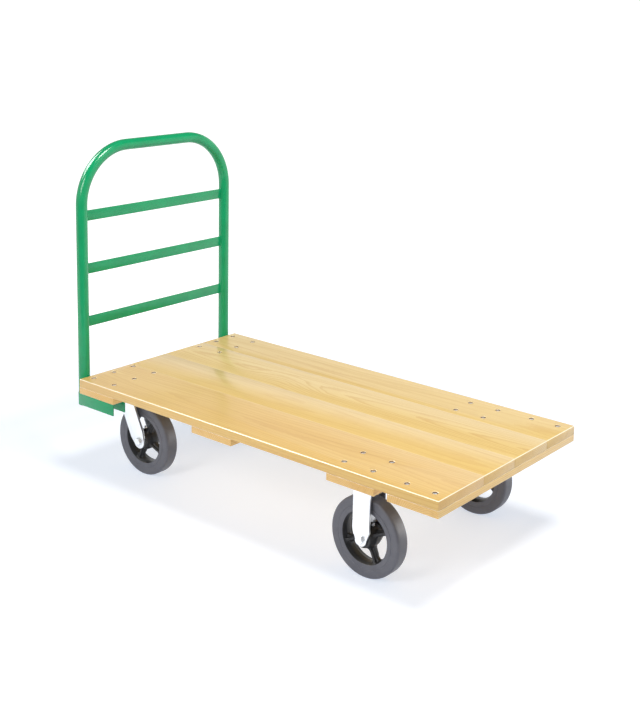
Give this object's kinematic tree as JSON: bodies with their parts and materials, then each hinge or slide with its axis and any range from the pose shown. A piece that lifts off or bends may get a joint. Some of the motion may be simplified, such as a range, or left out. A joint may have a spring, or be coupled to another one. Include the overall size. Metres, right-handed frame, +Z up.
{
  "type": "platform trolley",
  "caption": "Flat-deck platform trolley: wood plank deck, tube push handle with flat crossbars, swivel casters at the handle end and rigid casters at the other.",
  "frame": {"origin": "on the floor, under the middle of the bounding box", "axes": "+X along the deck, away from the handle; +Z up; +Y to the left of someone pushing the handle"},
  "size_m": [1.2534, 0.6096, 0.9384],
  "materials": {
    "deck_wood": "clear lacquered softwood planks",
    "batten_wood": "oiled softwood",
    "green_paint": "glossy enamel",
    "zinc_steel": "bright zinc plate",
    "cast_iron": "black semi-gloss",
    "rubber": "smooth moulded rubber",
    "bearing_steel": "oiled bare steel"
  },
  "bodies": {
    "chassis": {"deck_plank_1": "deck_wood", "deck_plank_2": "deck_wood", "deck_plank_3": "deck_wood", "deck_plank_4": "deck_wood", "batten_handle": "batten_wood", "batten_middle": "batten_wood", "batten_caster": "batten_wood", "batten_front": "batten_wood", "handle_tube": "green_paint", "handle_bar_low": "green_paint", "handle_bar_middle": "green_paint", "handle_bar_top": "green_paint", "handle_bracket_right": "green_paint", "handle_bracket_left": "green_paint", "bracket_bolt_right_1": "zinc_steel", "bracket_bolt_right_2": "zinc_steel", "bracket_bolt_left_1": "zinc_steel", "bracket_bolt_left_2": "zinc_steel", "swivel_right_bolt_1": "zinc_steel", "swivel_right_bolt_2": "zinc_steel", "swivel_right_bolt_3": "zinc_steel", "swivel_right_bolt_4": "zinc_steel", "swivel_left_bolt_1": "zinc_steel", "swivel_left_bolt_2": "zinc_steel", "swivel_left_bolt_3": "zinc_steel", "swivel_left_bolt_4": "zinc_steel", "rigid_right_bolt_1": "zinc_steel", "rigid_right_bolt_2": "zinc_steel", "rigid_right_bolt_3": "zinc_steel", "rigid_right_bolt_4": "zinc_steel", "rigid_left_bolt_1": "zinc_steel", "rigid_left_bolt_2": "zinc_steel", "rigid_left_bolt_3": "zinc_steel", "rigid_left_bolt_4": "zinc_steel", "rigid_right_frame": "zinc_steel", "rigid_right_axle": "zinc_steel", "swivel_right_plate": "zinc_steel", "swivel_right_race": "zinc_steel", "swivel_right_kingpin": "zinc_steel", "rigid_left_frame": "zinc_steel", "rigid_left_axle": "zinc_steel", "swivel_left_plate": "zinc_steel", "swivel_left_race": "zinc_steel", "swivel_left_kingpin": "zinc_steel"},
    "swivel_right": {"swivel_right_fork": "zinc_steel", "swivel_right_axle": "zinc_steel"},
    "wheel_swivel_right": {"swivel_right_core": "cast_iron", "swivel_right_tyre": "rubber", "swivel_right_bearing": "bearing_steel"},
    "wheel_rigid_right": {"rigid_right_core": "cast_iron", "rigid_right_tyre": "rubber", "rigid_right_bearing": "bearing_steel"},
    "swivel_left": {"swivel_left_fork": "zinc_steel", "swivel_left_axle": "zinc_steel"},
    "wheel_swivel_left": {"swivel_left_core": "cast_iron", "swivel_left_tyre": "rubber", "swivel_left_bearing": "bearing_steel"},
    "wheel_rigid_left": {"rigid_left_core": "cast_iron", "rigid_left_tyre": "rubber", "rigid_left_bearing": "bearing_steel"}
  },
  "joints": [
    {"name": "swivel_right_turn", "type": "hinge", "parent": "chassis", "child": "swivel_right", "pos_m": [-0.52641, -0.16637, 0.2286], "axis": [0, 0, 1], "continuous": true},
    {"name": "swivel_right_roll", "type": "hinge", "parent": "swivel_right", "child": "wheel_swivel_right", "pos_m": [-0.46799, -0.16637, 0.1016], "axis": [0, 1, 0], "continuous": true},
    {"name": "rigid_right_roll", "type": "hinge", "parent": "chassis", "child": "wheel_rigid_right", "pos_m": [0.3829, -0.23241, 0.1016], "axis": [0, 1, 0], "continuous": true},
    {"name": "swivel_left_turn", "type": "hinge", "parent": "chassis", "child": "swivel_left", "pos_m": [-0.52641, 0.16637, 0.2286], "axis": [0, 0, 1], "continuous": true},
    {"name": "swivel_left_roll", "type": "hinge", "parent": "swivel_left", "child": "wheel_swivel_left", "pos_m": [-0.46799, 0.16637, 0.1016], "axis": [0, 1, 0], "continuous": true},
    {"name": "rigid_left_roll", "type": "hinge", "parent": "chassis", "child": "wheel_rigid_left", "pos_m": [0.3829, 0.23241, 0.1016], "axis": [0, 1, 0], "continuous": true}
  ]
}
